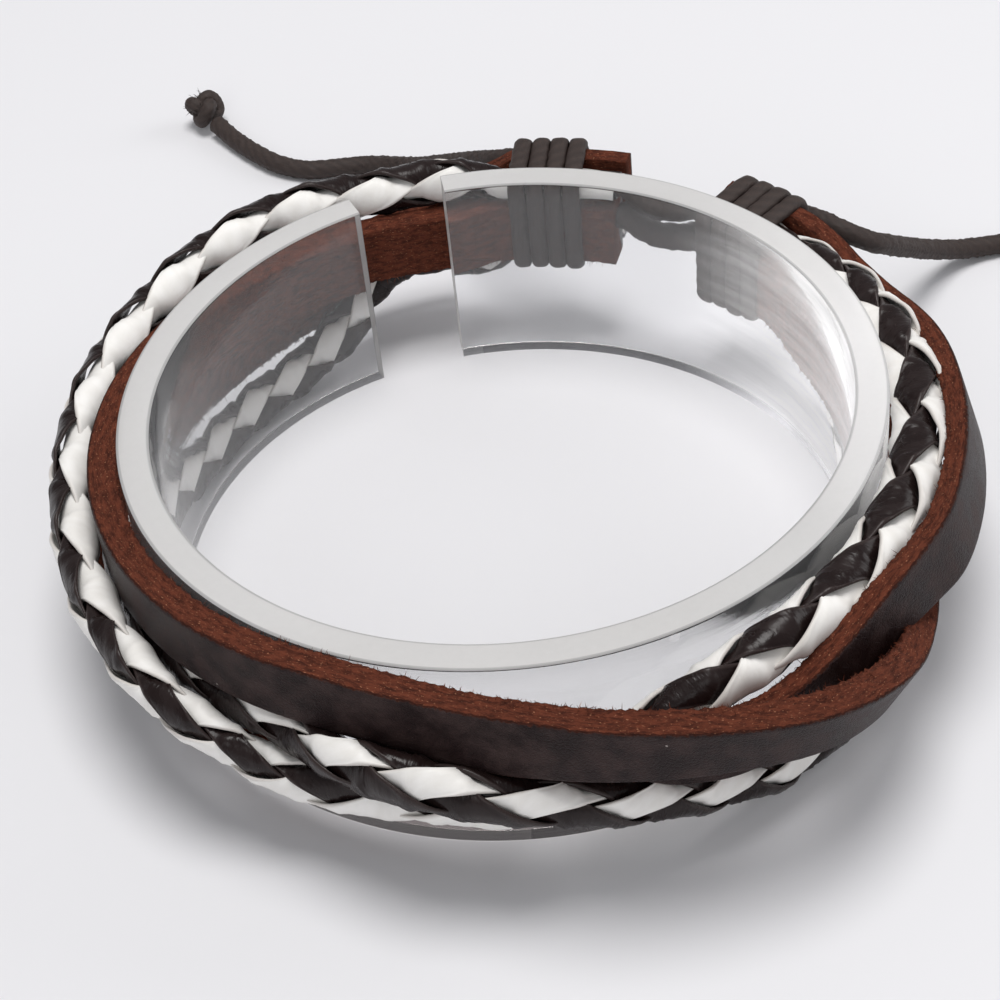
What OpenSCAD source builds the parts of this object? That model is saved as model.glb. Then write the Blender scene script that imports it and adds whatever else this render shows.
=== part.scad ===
// Layered leather bracelet of two flat straps and two lace braids, resting on a clear C-shaped display ring.
// Origin: middle of the ring's bottom edge, on the surface. +Z is the ring's axis, -Y is the front.
// Angles run from +X (right) through +Y (back, 90), left (180) and front (270).

/* [Display ring] */
// Outer diameter of the clear ring
ring_d = 62; // [60:0.5:64]
// Wall thickness of the clear ring
ring_wall = 2.7; // [2:0.1:3]
// Height of the clear ring
ring_h = 19; // [18:0.5:22]
// Where the opening in the ring starts, in degrees
gap_from = 96; // [92:1:104]
// How many degrees of the ring are open
gap_angle = 16; // [5:1:20]

/* [Straps] */
// Width of a leather strap
strap_w = 5.6; // [5:0.1:5.8]
// Thickness of the front strap
front_t = 2.4; // [1.6:0.1:2.5]
// Thickness of the outer strap
outer_t = 1.8; // [1.2:0.1:1.9]

/* [Bindings and cords] */
// Thickness of the waxed cord
cord_d = 1.9; // [1.5:0.1:2]
// Width of one turn of the flat waxed cord round a binding
wrap_d = 1.7; // [1.2:0.1:1.7]
// Thickness of the turns
wrap_t = 1; // [0.6:0.1:1]
// Number of turns on each binding
wrap_turns = 4; // [3:1:4]
// Diameter of the knots that end the tails
knot_d = 4.4; // [3:0.1:5]

/* [Hidden] */
ring_r = ring_d / 2;
edge_break = 0.25;
oval_sides = 12;
step_angle = 4;
knot_gap = 0.05;
rust = [0.42, 0.18, 0.11];
dark_brown = [0.16, 0.1, 0.09];
white = [0.93, 0.9, 0.87];
clear = [0.85, 0.86, 0.88, 0.4];
cord_brown = [0.24, 0.19, 0.17];

// Routes of the straps, a row for each bend.
// Columns: angle, radius of the inner face, height of the top edge, lean of the strap's foot outwards in degrees
front_strap_route = [
    [67.5, 32.4, 13.9, 0], [83, 32.4, 13.9, 0], [87, 32.4, 13.9, 0], [96, 31.3, 13.9, 0], [120, 31.3, 15, 0],
    [150, 31.3, 16, 0], [180, 31.3, 17.2, 0], [210, 31.3, 18.2, 0], [240, 31.3, 19.2, 0],
    [250, 31.5, 19, 0], [258, 32, 18.6, 2], [264, 33.2, 18.9, 3], [270, 34.8, 19.5, 1],
    [276, 36.3, 19.7, -3], [283, 37.6, 19.4, -8], [290, 38.7, 18.7, -13], [300, 39.9, 17.3, -18],
    [308, 39.6, 15.5, -22], [315, 38.5, 13.5, -24], [322, 36.8, 11.9, -21], [330, 34.8, 10.6, -16],
    [338, 32.7, 10.2, -9], [347, 31.5, 10.3, -2], [360, 31.3, 10.8, 0], [385, 31.3, 12.2, 0],
    [398, 32.4, 13.1, 0], [402, 32.4, 13.1, 0], [412, 32.4, 13.1, 0]];
outer_strap_route = [
    [67.5, 35.6, 16.8, 0], [82.5, 35.6, 16.8, 0], [84.5, 35.6, 16.7, 0], [86.5, 35.9, 15.8, 0], [89, 36.6, 14.6, 0], [91, 37, 13.8, 0],
    [95, 37.1, 12.3, 0], [98, 37.1, 11.4, 0], [106, 36.7, 10.8, 0], [112, 35.9, 10.4, 0], [118, 35, 10.1, 0],
    [135, 34.2, 10, 0], [150, 34.3, 9.9, 0], [165, 34.6, 8.8, 0],
    [175, 34.6, 7.4, 0], [182, 34, 6.6, 0], [190, 32.4, 6.2, 0], [198, 31.3, 6.2, 0],
    [212, 31.2, 7.2, 0], [225, 31.2, 8.4, 0], [238, 31.2, 8.9, 0], [248, 31.2, 10.2, 0],
    [256, 31.2, 12, 0], [262, 31.2, 12.8, 0], [266, 31.2, 14.8, 0], [270, 31.9, 16.3, 0],
    [276, 33.9, 17.1, 0], [282, 34.8, 16.5, 0], [288, 35.1, 15.1, 0], [294, 35.3, 14.1, 0],
    [300, 35.2, 14, 0], [308, 35.2, 15.3, 0], [316, 35.3, 17, 2], [323, 35.6, 17.6, 9], [330, 35.8, 17.5, 17],
    [345, 35.4, 17.4, 18], [360, 35.1, 17.1, 15], [368, 35.2, 16.3, 10], [375, 35.3, 15.3, 6],
    [382, 35.3, 14.5, 3], [388, 35.4, 14.6, 1], [393, 35.5, 15.4, 0], [398, 35.6, 16, 0],
    [402, 35.6, 16, 0], [412, 35.6, 16, 0]];

// Routes of the braids. Columns: angle, radius and height of the middle, thickness and height of the section
long_braid_route = [
    [67.5, 33.8, 15.4, 2.7, 2.7], [83, 33.8, 15.4, 2.7, 2.7], [86, 33.8, 15.4, 2.7, 2.7],
    [90, 34.5, 15.5, 3.3, 3.6], [95, 34.8, 15.8, 3.8, 4.3], [104, 35, 15.7, 3.8, 4.4],
    [112, 35.4, 16.1, 3.8, 4.4], [122, 35.6, 16.7, 3.8, 4.3], [135, 35.6, 16.5, 3.7, 4.2],
    [146, 35.6, 15.8, 3.7, 4.2], [158, 35.6, 15.3, 3.7, 4.2], [170, 35.6, 14.6, 3.7, 4.2],
    [185, 35.6, 13.4, 3.7, 4.2], [200, 35.7, 12.5, 3.6, 4.2], [212, 35.8, 12, 3.4, 4.2],
    [222, 35.8, 11.2, 3.2, 4.1], [230, 35.1, 9.6, 2.9, 3.8], [238, 34.5, 8.1, 2.8, 3.9],
    [246, 34.3, 8, 2.5, 4.1], [254, 34.2, 8.2, 2.4, 4.1], [262, 34.2, 8, 2.4, 4.1],
    [267, 34.2, 7.5, 2.3, 4], [271, 33.5, 7.6, 2.4, 4], [276, 32.8, 9.2, 2.9, 4],
    [280, 32.8, 11, 3.2, 4], [285, 33, 12.7, 3.6, 4.1], [291, 33.1, 14.1, 3.9, 4.2],
    [298, 33.1, 14.9, 4, 4.3], [306, 33.1, 15.2, 4, 4.4], [330, 33.1, 15.4, 4, 4.4],
    [345, 33.2, 15.4, 4.1, 4.4], [358, 33.3, 15.4, 4.1, 4.4], [378, 33.3, 15.4, 3.8, 4.2],
    [390, 33.5, 15, 3.1, 3.6], [398, 33.8, 14.6, 2.7, 2.7], [402, 33.8, 14.6, 2.7, 2.7],
    [412, 33.8, 14.6, 2.7, 2.7]];
lower_braid_route = [
    [67.5, 36.1, 9.7, 2.6, 2.7], [83, 36.1, 9.7, 2.6, 2.7], [84.5, 36.1, 9.35, 2.6, 2.7],
    [86.5, 35.7, 7.4, 2.5, 2.6], [89, 35.3, 6.7, 2.5, 2.6], [92, 35.2, 6.9, 2.6, 3], [97, 35.2, 7.4, 2.8, 3.6],
    [102, 35.1, 7.5, 3, 4], [106, 34.9, 7, 3.1, 4.1], [110, 34.4, 5.8, 3.2, 4.1], [116, 33.6, 4, 3.4, 4.1], [126, 33.1, 2.5, 3.5, 4.1], [136, 33, 2.3, 3.5, 4.1],
    [150, 33, 2.3, 3.4, 4.1], [160, 32.9, 3.3, 3.2, 4.1],
    [170, 32.7, 5.2, 3, 4.1], [180, 32.6, 7.4, 2.9, 4.1], [190, 32.6, 9.2, 2.8, 4.1],
    [200, 32.6, 10, 2.8, 4.1], [212, 32.6, 10.5, 2.8, 4.1], [222, 32.6, 10.9, 2.7, 4],
    [230, 32.7, 11.3, 2.6, 3.8], [238, 33.3, 11.7, 2.8, 3.6], [246, 34.8, 12, 3.1, 4.1],
    [254, 35.8, 12.2, 3.4, 4.2], [262, 36.3, 11.5, 3.4, 4.2], [270, 36.4, 10.6, 3.3, 4.2],
    [276, 36.2, 9.5, 3.2, 4.2], [282, 35.6, 8, 3.3, 4.2], [292, 34.5, 5.5, 3.5, 4.2],
    [302, 34, 3.4, 3.5, 4.2], [312, 33.4, 2.5, 3.5, 4.1], [330, 33, 2.3, 3.5, 4.1],
    [366, 33, 2.3, 3.5, 4.1], [376, 34.2, 3.2, 3.3, 4.1], [385, 35.6, 5.4, 3, 3.7],
    [393, 36.1, 7.8, 2.7, 3.1], [398, 36.1, 8.9, 2.6, 2.7], [402, 36.1, 8.9, 2.6, 2.7],
    [412, 36.1, 8.9, 2.6, 2.7]];

// Bindings: columns angle of the middle, height of the foot
binding_width = wrap_turns * wrap_d;
left_binding_at = [79, 7.5];
right_binding_at = [45.8, 6.7];
binding_r_in = 31.2;
binding_t = 7.5;
binding_h = 10.2;
binding_pressed = 0.3;
binding_round = 1.8;
binding_round_in = 0.3;

// Cords between the bindings: columns angle, radius, height
upper_closure_route = [[52.3, 33.7, 14.6], [54, 33.6, 14.6], [57, 32.9, 14.8], [60, 32.6, 15],
                       [63, 32.9, 15.2], [65.5, 33.6, 15.4], [67.2, 33.7, 15.4]];
lower_closure_route = [[52.3, 33.5, 11.8], [54, 33.4, 11.8], [57, 32.8, 12], [60, 32.5, 12.2],
                       [63, 32.8, 12.4], [65.5, 33.4, 12.5], [67.2, 33.5, 12.5]];

// Tails laid on the surface: columns x, y, z
left_tail_route = [
    [7.2, 39, 14.2], [4.6, 39.7, 13.9], [2.2, 41.4, 12.8], [0.2, 44.4, 10.9], [-1.8, 48, 8.5],
    [-3.8, 52, 5.8], [-5.8, 55.6, 3.4], [-8, 58.6, 1.7], [-11, 60.3, 1], [-14.2, 60.4, 1],
    [-17.4, 60.6, 1], [-20.4, 62.2, 1], [-22.8, 64.7, 1], [-25, 67.6, 1], [-27, 70.6, 1.3]];
right_tail_route = [
    [28.5, 27.9, 12.8], [29.6, 26.7, 13], [30.7, 25.5, 13.1], [32.5, 24, 12.8], [34.7, 24, 11.5],
    [36, 25, 10.4], [37.2, 26.4, 9], [39.3, 29, 6.6], [41.9, 31.8, 4], [44.7, 34, 2],
    [47.7, 35.2, 1.1], [50.8, 35.5, 1], [53, 35.4, 1], [55.1, 35.1, 1.1], [57.2, 34.6, 1.3]];

// Smooth value of one column of a route at an angle: cubic between rows, with the slopes of the neighbours
function row_at(route, a, i = 0) = i < len(route) - 2 && a > route[i + 1][0] ? row_at(route, a, i + 1) : i;
function slope(route, c, i) =
    i == 0 || i == len(route) - 1 ? 0 :
    (route[i + 1][c] - route[i - 1][c]) / (route[i + 1][0] - route[i - 1][0]);
function value(route, c, a) =
    let (i = row_at(route, a), w = route[i + 1][0] - route[i][0], u = (a - route[i][0]) / w)
    (1 + 2 * u) * pow(1 - u, 2) * route[i][c] + u * pow(1 - u, 2) * w * slope(route, c, i)
    + u * u * (3 - 2 * u) * route[i + 1][c] + u * u * (u - 1) * w * slope(route, c, i + 1);

// How much longer a section gets upright where the route climbs
function climb(route, a) =
    let (r = value(route, 1, a), dz = (value(route, 2, a + 0.5) - value(route, 2, a - 0.5)) * 180 / PI / r)
    sqrt(1 + dz * dz);
function polar(a, r, z) = [r * cos(a), r * sin(a), z];

// Strap section: four corners with their edges broken, from the top inner corner down and outwards
function strap_section(route, a, t) =
    let (r = value(route, 1, a), z = value(route, 2, a), lean = value(route, 3, a),
         w = strap_w * climb(route, a), b = edge_break,
         out = [cos(lean), sin(lean)], down = [sin(lean), -cos(lean)])
    [for (p = [[b, 0], [t - b, 0], [t, b], [t, w - b], [t - b, w], [b, w], [0, w - b], [0, b]])
        let (q = [r, z] + out * p[0] + down * p[1]) polar(a, q[0], q[1])];

// Braid section: an oval
function braid_section(route, a) =
    let (r = value(route, 1, a), z = value(route, 2, a), k = climb(route, a),
         t = value(route, 3, a), h = value(route, 4, a))
    [for (i = [0 : oval_sides - 1]) let (turn = i * 360 / oval_sides)
        polar(a, r - t / 2 * cos(turn), z + h / 2 * k * sin(turn))];

// Skin over a row of sections
module skin(sections) {
    n = len(sections[0]);
    last = len(sections) - 1;
    polyhedron(
        points = [for (s = sections) each s],
        faces = concat(
            [[for (i = [n - 1 : -1 : 0]) i]],
            [for (k = [0 : last - 1], i = [0 : n - 1]) each
                let (a = k * n + i, b = k * n + (i + 1) % n) [[a, b, b + n], [a, b + n, a + n]]],
            [[for (i = [0 : n - 1]) last * n + i]]),
        convexity = 10);
}

// Round cord through points: each ring stands square to the line between its neighbours
function unit(v) = v / norm(v);
function ring_dir(p, i) = unit(p[min(i + 1, len(p) - 1)] - p[max(i - 1, 0)]);
function cord_sections(p, d) =
    [for (i = [0 : len(p) - 1])
        let (t = ring_dir(p, i), u = unit(cross(t, [0, 0, 1])), v = cross(u, t))
        [for (k = [0 : 7]) p[i] + d / 2 * (u * cos(k * 45 + 22.5) + v * sin(k * 45 + 22.5))]];

module strap(route, t) {
    first = route[0][0];
    last = route[len(route) - 1][0];
    steps = ceil((last - first) / step_angle);
    skin([for (i = [steps : -1 : 0]) strap_section(route, first + (last - first) * i / steps, t)]);
}

module braid(route) {
    first = route[0][0];
    last = route[len(route) - 1][0];
    steps = ceil((last - first) / step_angle);
    skin([for (i = [steps : -1 : 0]) braid_section(route, first + (last - first) * i / steps)]);
}

// Rounded box outline from x = 0 and y = 0
module rounded_outline(w, h, r) {
    translate([r, 0]) square([w - 2 * r, h]);
    translate([0, r]) square([w, h - 2 * r]);
    for (x = [r, w - r], y = [r, h - r]) translate([x, y]) circle(r, $fn = 32);
}

// Band of wound cord round the strands, hollow inside
module binding(at) {
    rotate([0, 0, at[0]])
        translate([binding_r_in, binding_width / 2, at[1]])
            rotate([90, 0, 0])
                linear_extrude(binding_width)
                    difference() {
                        rounded_outline(binding_t, binding_h, binding_round);
                        translate([wrap_t, wrap_t - binding_pressed])
                            rounded_outline(binding_t - 2 * wrap_t, binding_h - 2 * (wrap_t - binding_pressed),
                                            binding_round_in);
                    }
}

module display_ring() {
    color(clear)
        difference() {
            cylinder(r = ring_r, h = ring_h, $fn = 180);
            translate([0, 0, -1]) cylinder(r = ring_r - ring_wall, h = ring_h + 2, $fn = 180);
            rotate([0, 0, gap_from])
                translate([0, 0, -1])
                    linear_extrude(ring_h + 2)
                        polygon([[0, 0], [2 * ring_r, 0],
                                 [2 * ring_r * cos(gap_angle), 2 * ring_r * sin(gap_angle)]]);
        }
}

module front_strap() {
    color(rust) strap(front_strap_route, front_t);
}

module outer_strap() {
    color(dark_brown) strap(outer_strap_route, outer_t);
}

module long_braid() {
    color(white) braid(long_braid_route);
}

module lower_braid() {
    color("dimgray") braid(lower_braid_route);
}

module left_binding() {
    color(cord_brown) binding(left_binding_at);
}

module right_binding() {
    color(cord_brown) binding(right_binding_at);
}

module upper_closure_cord() {
    color(cord_brown) skin(cord_sections([for (p = upper_closure_route) polar(p[0], p[1], p[2])], cord_d));
}

module lower_closure_cord() {
    color(cord_brown) skin(cord_sections([for (p = lower_closure_route) polar(p[0], p[1], p[2])], cord_d));
}

module left_tail() {
    color(cord_brown) skin(cord_sections(left_tail_route, cord_d));
}

module right_tail() {
    color(cord_brown) skin(cord_sections(right_tail_route, cord_d));
}

// Knot at the end of a tail, resting on the surface
module end_knot(route) {
    tip = route[len(route) - 1];
    way = ring_dir(route, len(route) - 1);
    off = knot_d / 2 + knot_gap;
    translate([tip[0] + way[0] * off, tip[1] + way[1] * off, knot_d / 2])
        sphere(d = knot_d, $fn = 32);
}

module left_knot() {
    color(cord_brown) end_knot(left_tail_route);
}

module right_knot() {
    color(cord_brown) end_knot(right_tail_route);
}

display_ring();
front_strap();
outer_strap();
long_braid();
lower_braid();
left_binding();
right_binding();
upper_closure_cord();
lower_closure_cord();
left_tail();
right_tail();
left_knot();
right_knot();
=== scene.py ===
import math
import bpy
import numpy as np
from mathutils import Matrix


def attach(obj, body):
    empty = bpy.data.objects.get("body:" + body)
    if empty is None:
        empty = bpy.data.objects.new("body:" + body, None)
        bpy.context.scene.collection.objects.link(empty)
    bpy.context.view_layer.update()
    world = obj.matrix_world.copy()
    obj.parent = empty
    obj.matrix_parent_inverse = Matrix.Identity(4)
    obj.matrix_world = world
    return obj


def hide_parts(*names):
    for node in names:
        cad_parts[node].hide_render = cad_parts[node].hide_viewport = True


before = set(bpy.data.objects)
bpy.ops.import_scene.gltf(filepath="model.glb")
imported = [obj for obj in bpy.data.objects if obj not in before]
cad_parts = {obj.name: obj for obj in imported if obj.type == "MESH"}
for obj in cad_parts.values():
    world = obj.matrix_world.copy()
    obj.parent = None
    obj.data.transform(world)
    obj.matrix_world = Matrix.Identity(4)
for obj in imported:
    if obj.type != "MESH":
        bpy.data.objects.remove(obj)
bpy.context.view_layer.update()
scene = bpy.context.scene
mm = 0.001


# camera: it stands where the picture was taken from, about 40 degrees above the surface
cameraSetup = {"place": (0, -0.14863, 0.14205), "turn": (47.568, 4.706, -3.933), "lens": 86.4, "sensor": 36}


def makeCamera():
    # at its place, turned by degrees about x, y and z
    data = bpy.data.cameras.new("camera")
    data.lens, data.sensor_width = cameraSetup["lens"], cameraSetup["sensor"]
    data.clip_start = 0.01
    camera = bpy.data.objects.new("camera", data)
    camera.location = cameraSetup["place"]
    camera.rotation_euler = [math.radians(t) for t in cameraSetup["turn"]]
    scene.collection.objects.link(camera)
    scene.camera = camera


makeCamera()
print("camera ready")


# node helpers
def fill(tree, node, inputs):
    # an input that is given a socket is linked, any other gets the value
    for key, value in inputs.items():
        if isinstance(value, bpy.types.NodeSocket):
            tree.links.new(value, node.inputs[key])
        else:
            node.inputs[key].default_value = value


def put(tree, kind, inputs=None, **settings):
    # adds a node with its settings and inputs
    node = tree.nodes.new(kind)
    for key, value in settings.items():
        setattr(node, key, value)
    fill(tree, node, inputs or {})
    return node


def calc(tree, operation, a, b=0.0, c=0.0):
    # arithmetic on up to three numbers, such as a times b plus c
    return put(tree, "ShaderNodeMath", {0: a, 1: b, 2: c}, operation=operation).outputs[0]


def blendNumber(tree, factor, a, b):
    # from a to b as the factor goes from 0 to 1
    return put(tree, "ShaderNodeMix", {0: factor, 2: a, 3: b}).outputs[0]


def blendColour(tree, factor, a, b):
    # the same for two colours
    return put(tree, "ShaderNodeMix", {0: factor, 6: a, 7: b}, data_type="RGBA").outputs[2]


def spread(tree, value, low, high, newLow=0.0, newHigh=1.0):
    # maps low..high smoothly on newLow..newHigh
    inputs = {"Value": value, "From Min": low, "From Max": high, "To Min": newLow, "To Max": newHigh}
    return put(tree, "ShaderNodeMapRange", inputs, interpolation_type="SMOOTHSTEP").outputs[0]


def noiseAt(tree, place, scale, detail=4.0, rough=0.55, output="Fac"):
    # smooth noise of 0..1 at a place, scale waves to the unit
    inputs = {"Vector": place, "Scale": scale, "Detail": detail, "Roughness": rough}
    return put(tree, "ShaderNodeTexNoise", inputs).outputs[output]


def stretched(tree, place, stretch):
    # a place with each of its axes multiplied
    return put(tree, "ShaderNodeVectorMath", {0: place, 1: stretch}, operation="MULTIPLY").outputs[0]


def newGroup(name, ins, outs):
    # a shader node group with named sockets: kind "F" is a number and "V" a vector
    kinds = {"F": "NodeSocketFloat", "V": "NodeSocketVector"}
    tree = bpy.data.node_groups.new(name, "ShaderNodeTree")
    for label, (kind, value) in ins.items():
        socket = tree.interface.new_socket(label, in_out="INPUT", socket_type=kinds[kind])
        if value is not None:
            socket.default_value = value
    for label in outs:
        tree.interface.new_socket(label, in_out="OUTPUT", socket_type=kinds["F"])
    return tree, tree.nodes.new("NodeGroupInput").outputs, tree.nodes.new("NodeGroupOutput")


def useGroup(tree, group, inputs):
    # a group placed in a material with its own values
    return put(tree, "ShaderNodeGroup", inputs, node_tree=group).outputs


grainPattern = {"warpScale": 1.3, "warp": (0.35, 0.35, 0.35), "crease": 0.14, "pores": 9.0, "mottle": 0.45}


def makeGrainGroup():
    # leather grain: small cells with soft creases between them plus fine pores, and a slow mottle
    look = grainPattern
    tree, ins, outs = newGroup("leatherGrain", {"Place": ("V", None), "Scale": ("F", 3.0),
                                                "Crease": ("F", 0.5)}, ("Height", "Mottle"))
    warp = noiseAt(tree, ins["Place"], look["warpScale"], 3.0, output="Color")
    bent = put(tree, "ShaderNodeVectorMath", {0: warp, 1: look["warp"], 2: ins["Place"]},
               operation="MULTIPLY_ADD").outputs[0]
    cells = put(tree, "ShaderNodeTexVoronoi", {"Vector": bent, "Scale": ins["Scale"]},
                feature="DISTANCE_TO_EDGE").outputs["Distance"]
    creases = spread(tree, cells, 0.0, look["crease"])
    pores = noiseAt(tree, ins["Place"], look["pores"], 5.0)
    fill(tree, outs, {"Height": calc(tree, "MULTIPLY_ADD", creases, ins["Crease"], pores),
                      "Mottle": noiseAt(tree, ins["Place"], look["mottle"])})
    return tree


fibrePattern = {"fine": 5.0, "fineShare": 0.4, "clump": 1.6, "clumpShare": 0.6,
                "fleck": 6.0, "fleckStretch": (0.7, 1.3, 1.3), "fleckRange": (0.63, 0.72)}


def makeFibreGroup():
    # raw cut leather: fine fibres drawn out along the strap, coarse clumps among them and sparse flecks
    look = fibrePattern
    tree, ins, outs = newGroup("rawFibres", {"Place": ("V", None), "Stretch": ("V", (1.0, 1.0, 1.0))},
                               ("Height", "Streak", "Fleck"))
    drawn = stretched(tree, ins["Place"], ins["Stretch"])
    fine = noiseAt(tree, drawn, look["fine"], 8.0, 0.7)
    clumps = noiseAt(tree, drawn, look["clump"], 4.0, 0.6)
    fineShare = calc(tree, "MULTIPLY", fine, look["fineShare"])
    flecks = noiseAt(tree, stretched(tree, ins["Place"], look["fleckStretch"]), look["fleck"], 2.0, 0.5)
    fill(tree, outs, {"Height": fine, "Fleck": spread(tree, flecks, *look["fleckRange"]),
                      "Streak": calc(tree, "MULTIPLY_ADD", clumps, look["clumpShare"], fineShare)})
    return tree


crinklePattern = {"stretch": (1.6, 0.55, 1.0), "soft": 1.1, "sharp": 2.2, "sharpShare": 0.22, "tone": 0.6}


def makeCrinkleGroup():
    # coated lace: shallow creases that run across it, with a few sharp ones
    look = crinklePattern
    tree, ins, outs = newGroup("laceCrinkle", {"Place": ("V", None), "Scale": ("F", 1.0)},
                               ("Height", "Tone"))
    across = stretched(tree, ins["Place"], look["stretch"])
    soft = noiseAt(tree, across, calc(tree, "MULTIPLY", ins["Scale"], look["soft"]), 3.0, 0.5)
    sharpInputs = {"Vector": across, "Scale": calc(tree, "MULTIPLY", ins["Scale"], look["sharp"]),
                   "Detail": 4.0, "Roughness": 0.6, "Distortion": 0.6}
    sharp = put(tree, "ShaderNodeTexNoise", sharpInputs, noise_type="RIDGED_MULTIFRACTAL").outputs["Fac"]
    fill(tree, outs, {"Height": calc(tree, "MULTIPLY_ADD", sharp, look["sharpShare"], soft),
                      "Tone": noiseAt(tree, ins["Place"], look["tone"], 3.0)})
    return tree


nickPattern = {"raggedScale": 6.0, "ragged": 0.06, "leftOut": 0.45}


def makeNickGroup():
    # small pale nicks: the middle of some cells is scratched off, with a ragged rim
    look = nickPattern
    tree, ins, outs = newGroup("paleNicks", {"Place": ("V", None), "Scale": ("F", 0.3), "Size": ("F", 0.1)},
                               ("Mask",))
    cellInputs = {"Vector": ins["Place"], "Scale": ins["Scale"], "Randomness": 1.0}
    cell = put(tree, "ShaderNodeTexVoronoi", cellInputs).outputs
    rough = noiseAt(tree, ins["Place"], look["raggedScale"], 2.0)
    ragged = calc(tree, "MULTIPLY_ADD", rough, look["ragged"], cell["Distance"])
    red = put(tree, "ShaderNodeSeparateColor", {0: cell["Color"]}).outputs[0]
    chosen = calc(tree, "GREATER_THAN", red, look["leftOut"])
    near = calc(tree, "LESS_THAN", ragged, ins["Size"])
    fill(tree, outs, {"Mask": calc(tree, "MULTIPLY", near, chosen)})
    return tree


grainGroup, fibreGroup = makeGrainGroup(), makeFibreGroup()
crinkleGroup, nickGroup = makeCrinkleGroup(), makeNickGroup()


def newMaterial(name, plain):
    # a material with its shader on the output; plain holds the shader's values that are the same all over
    material = bpy.data.materials.new(name)
    material.use_nodes = True
    tree = material.node_tree
    tree.nodes.clear()
    shader = tree.nodes.new("ShaderNodeBsdfPrincipled")
    output = tree.nodes.new("ShaderNodeOutputMaterial")
    tree.links.new(shader.outputs[0], output.inputs["Surface"])
    fill(tree, shader, plain)
    return material, tree, shader


def bump(tree, height, strength, distance):
    # a normal tilted by a height; distance is the depth in metres
    inputs = {"Height": height, "Strength": strength, "Distance": distance}
    return put(tree, "ShaderNodeBump", inputs).outputs[0]


def uvPlace(tree):
    # the piece's own map, whose unit is a millimetre: along, around
    return put(tree, "ShaderNodeUVMap", uv_map="lengthMap").outputs[0]


def attribute(tree, name):
    # a number that the piece's points carry
    return put(tree, "ShaderNodeAttribute", attribute_name=name).outputs["Fac"]


strapFinish = {
    "grain": (0.0165, 0.0078, 0.0078, 1), "grainLight": (0.052, 0.031, 0.029, 1),
    "raw": (0.165, 0.045, 0.024, 1), "rawDark": (0.05, 0.014, 0.0085, 1), "rawLight": (0.6, 0.27, 0.15, 1),
    "edgeLine": (0.02, 0.007, 0.005, 1), "lineShare": 0.75, "fleckShare": 0.6, "grainBump": 0.7,
    "cells": 2.6, "crease": 0.35, "stretch": (0.5, 1.7, 1.0), "nick": (0.42, 0.36, 0.34, 1),
    "nickScale": 0.27, "nickSize": 0.06, "wanderScale": 2.6, "wander": 0.4, "rawRough": 0.95,
    "grainRough": (0.34, 0.5), "bump": (0.9, 0.00022), "plain": {"Specular IOR Level": 0.15},
}


def strapMaterial():
    # one leather: dark smooth grain outside, raw rust cut edges and flesh side, told apart by the piece's own
    # attribute fromCorner, the distance in millimetres past the corner of the grain
    look = strapFinish
    material, tree, shader = newMaterial("strapLeather", look["plain"])
    place = uvPlace(tree)
    grain = useGroup(tree, grainGroup, {"Place": place, "Scale": look["cells"], "Crease": look["crease"]})
    fibre = useGroup(tree, fibreGroup, {"Place": place, "Stretch": look["stretch"]})
    nick = useGroup(tree, nickGroup, {"Place": place, "Scale": look["nickScale"], "Size": look["nickSize"]})
    uneven = noiseAt(tree, place, look["wanderScale"], 5.0)
    wander = calc(tree, "MULTIPLY_ADD", uneven, look["wander"], -look["wander"] / 2)
    past = calc(tree, "ADD", attribute(tree, "fromCorner"), wander)
    onGrain = spread(tree, past, -0.05, 0.05)
    line = spread(tree, calc(tree, "ABSOLUTE", calc(tree, "ADD", past, 0.06)), 0.02, 0.11, 1.0, 0.0)
    raw = blendColour(tree, spread(tree, fibre["Streak"], 0.36, 0.62), look["rawDark"], look["raw"])
    raw = blendColour(tree, calc(tree, "MULTIPLY", fibre["Fleck"], look["fleckShare"]), raw, look["rawLight"])
    dark = blendColour(tree, spread(tree, grain["Mottle"], 0.35, 0.7), look["grain"], look["grainLight"])
    dark = blendColour(tree, nick["Mask"], dark, look["nick"])
    colour = blendColour(tree, onGrain, raw, dark)
    lineShare = calc(tree, "MULTIPLY", line, look["lineShare"])
    grainRough = spread(tree, grain["Mottle"], 0.3, 0.75, *look["grainRough"])
    grainHeight = calc(tree, "MULTIPLY", grain["Height"], look["grainBump"])
    height = blendNumber(tree, onGrain, fibre["Height"], grainHeight)
    fill(tree, shader, {
        "Base Color": blendColour(tree, lineShare, colour, look["edgeLine"]),
        "Roughness": blendNumber(tree, onGrain, look["rawRough"], grainRough),
        "Normal": bump(tree, height, *look["bump"])})
    return material


# the white lace is painted darker along its edges as shade; the black one is glossier, with painted grey
# highlights along its edges
whiteFinish = {
    "name": "whiteLace", "crinkle": 0.8, "low": (0.88, 0.86, 0.825, 1), "high": (0.94, 0.925, 0.9, 1),
    # painted shade: the edge colour darkens the white lace along its edges
    "rim": (0.36, 0.3, 0.26, 1), "paintedEdgeRange": (0.86, 1.0), "paintedEdgeShare": 0.45, "bump": (0.35, 0.0001),
    "plain": {"Roughness": 0.48, "Specular IOR Level": 0.4},
}
blackFinish = {
    "name": "blackLace", "crinkle": 1.5, "low": (0.0125, 0.0068, 0.0065, 1), "high": (0.02, 0.0125, 0.012, 1),
    # painted highlight: the grey edge colour stands in for the sheen along the black lace's folded edges
    "rim": (0.05, 0.036, 0.034, 1), "paintedEdgeRange": (0.84, 0.9), "paintedEdgeShare": 0.5, "bump": (0.5, 0.00012),
    "roughRange": (0.22, 0.34), "plain": {"Specular IOR Level": 0.24},
}


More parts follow.
